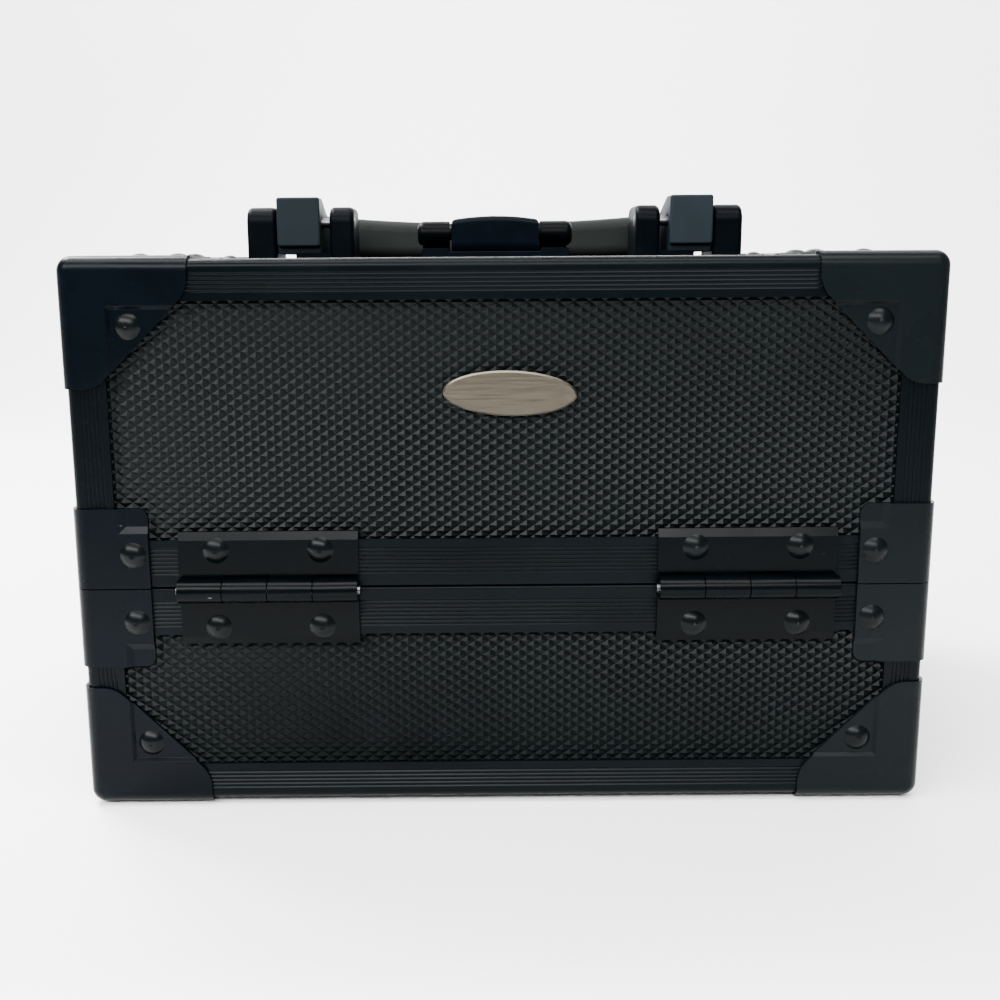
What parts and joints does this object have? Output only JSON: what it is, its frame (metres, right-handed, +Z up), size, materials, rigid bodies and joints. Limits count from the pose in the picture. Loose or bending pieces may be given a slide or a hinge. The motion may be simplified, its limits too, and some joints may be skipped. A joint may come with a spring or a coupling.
{
  "type": "makeup train case",
  "caption": "Rigid makeup train case with framed dimpled panels, lids that open outwards on both sides, swing-out trays, a lift latch and a folding carry handle.",
  "frame": {"origin": "on the floor under the middle of the case", "axes": "+X along the case's length, to the right as seen from the badge side; +Y to the rear lid; +Z up"},
  "size_m": [0.3066, 0.229, 0.2224],
  "materials": {
    "dimpled_panel": "moulded pyramid pattern, satin black",
    "anodised_rail": "black anodised, satin",
    "pressed_cap": "gloss black paint",
    "rivet": "gloss black",
    "lining": "short black nap",
    "hinge": "satin black paint",
    "steel_pin": "plain steel",
    "arm_metal": "dark anodised",
    "badge": "brushed nickel, plain",
    "latch_metal": "satin dark grey-blue paint",
    "latch_barrel": "satin dark grey paint",
    "handle_bracket": "satin black paint",
    "handle_moulding": "moulded dark grey",
    "grip": "soft satin dark grey",
    "tray": "moulded black"
  },
  "bodies": {
    "base": {"base_front_panel": "dimpled_panel", "base_rear_panel": "dimpled_panel", "base_left_panel": "dimpled_panel", "base_right_panel": "dimpled_panel", "base_bottom_panel": "dimpled_panel", "base_bottom_rails": "anodised_rail", "base_corner_stiles": "anodised_rail", "base_rim_rails": "anodised_rail", "base_corner_caps": "pressed_cap", "base_rim_brackets": "pressed_cap", "base_rivets": "rivet", "foot_rivets": "rivet", "base_lining": "lining", "hinge_lower_leaves": "hinge", "hinge_pins": "steel_pin", "arm_pivots": "steel_pin"},
    "front_lid": {"front_lid_face_panel": "dimpled_panel", "front_lid_top_panel": "dimpled_panel", "front_lid_side_panels": "dimpled_panel", "front_lid_edge_rails": "anodised_rail", "front_lid_rim_rails": "anodised_rail", "front_lid_split_rails": "anodised_rail", "front_lid_corner_caps": "pressed_cap", "front_lid_rim_brackets": "pressed_cap", "front_lid_split_brackets": "pressed_cap", "front_lid_rivets": "rivet", "front_lid_hinge_leaves": "hinge", "front_lid_lining": "lining", "front_lid_tray_hangers": "arm_metal", "badge": "badge", "latch_base": "latch_metal", "latch_barrel": "latch_barrel"},
    "rear_lid": {"rear_lid_face_panel": "dimpled_panel", "rear_lid_top_panel": "dimpled_panel", "rear_lid_side_panels": "dimpled_panel", "rear_lid_edge_rails": "anodised_rail", "rear_lid_rim_rails": "anodised_rail", "rear_lid_split_rails": "anodised_rail", "rear_lid_corner_caps": "pressed_cap", "rear_lid_rim_brackets": "pressed_cap", "rear_lid_split_brackets": "pressed_cap", "rear_lid_rivets": "rivet", "rear_lid_hinge_leaves": "hinge", "rear_lid_lining": "lining", "rear_lid_tray_hangers": "arm_metal", "latch_catch": "latch_metal", "handle_brackets": "handle_bracket", "handle_pins": "steel_pin"},
    "front_arms": {"front_tray_arms": "arm_metal"},
    "rear_arms": {"rear_tray_arms": "arm_metal"},
    "front_lower_tray": {"front_lower_tray": "tray"},
    "front_upper_tray": {"front_upper_tray": "tray"},
    "rear_lower_tray": {"rear_lower_tray": "tray"},
    "rear_upper_tray": {"rear_upper_tray": "tray"},
    "handle": {"handle_bow": "handle_moulding", "handle_grip": "grip"},
    "latch_lever": {"latch_lever": "latch_metal"}
  },
  "joints": [
    {"name": "front_lid_hinge", "type": "hinge", "parent": "base", "child": "front_lid", "pos_m": [0, -0.11025, 0.0821], "axis": [1, 0, 0], "range_deg": [0, 90]},
    {"name": "front_arm_swing", "type": "hinge", "parent": "base", "child": "front_arms", "pos_m": [0, -0.07225, 0.0741], "axis": [1, 0, 0], "range_deg": [0, 90]},
    {"name": "front_lower_tray_level", "type": "hinge", "parent": "front_arms", "child": "front_lower_tray", "pos_m": [0, -0.04725, 0.1021], "axis": [1, 0, 0], "range_deg": [-90, 0]},
    {"name": "front_upper_tray_level", "type": "hinge", "parent": "front_arms", "child": "front_upper_tray", "pos_m": [0, -0.02225, 0.1301], "axis": [1, 0, 0], "range_deg": [-90, 0]},
    {"name": "rear_lid_hinge", "type": "hinge", "parent": "base", "child": "rear_lid", "pos_m": [0, 0.11025, 0.0821], "axis": [-1, 0, 0], "range_deg": [0, 90]},
    {"name": "rear_arm_swing", "type": "hinge", "parent": "base", "child": "rear_arms", "pos_m": [0, 0.07225, 0.0741], "axis": [-1, 0, 0], "range_deg": [0, 90]},
    {"name": "rear_lower_tray_level", "type": "hinge", "parent": "rear_arms", "child": "rear_lower_tray", "pos_m": [0, 0.04725, 0.1021], "axis": [-1, 0, 0], "range_deg": [-90, 0]},
    {"name": "rear_upper_tray_level", "type": "hinge", "parent": "rear_arms", "child": "rear_upper_tray", "pos_m": [0, 0.02225, 0.1301], "axis": [-1, 0, 0], "range_deg": [-90, 0]},
    {"name": "latch_lift", "type": "hinge", "parent": "front_lid", "child": "latch_lever", "pos_m": [0, -0.0295, 0.20525], "axis": [1, 0, 0], "range_deg": [0, 60]},
    {"name": "handle_fold", "type": "hinge", "parent": "rear_lid", "child": "handle", "pos_m": [0, 0.03, 0.2115], "axis": [1, 0, 0], "range_deg": [0, 90]}
  ],
  "couplings": [
    {"joint": "front_arm_swing", "follows": "front_lid_hinge", "ratio": 1},
    {"joint": "front_lower_tray_level", "follows": "front_lid_hinge", "ratio": -1},
    {"joint": "front_upper_tray_level", "follows": "front_lid_hinge", "ratio": -1},
    {"joint": "rear_arm_swing", "follows": "rear_lid_hinge", "ratio": 1},
    {"joint": "rear_lower_tray_level", "follows": "rear_lid_hinge", "ratio": -1},
    {"joint": "rear_upper_tray_level", "follows": "rear_lid_hinge", "ratio": -1}
  ]
}
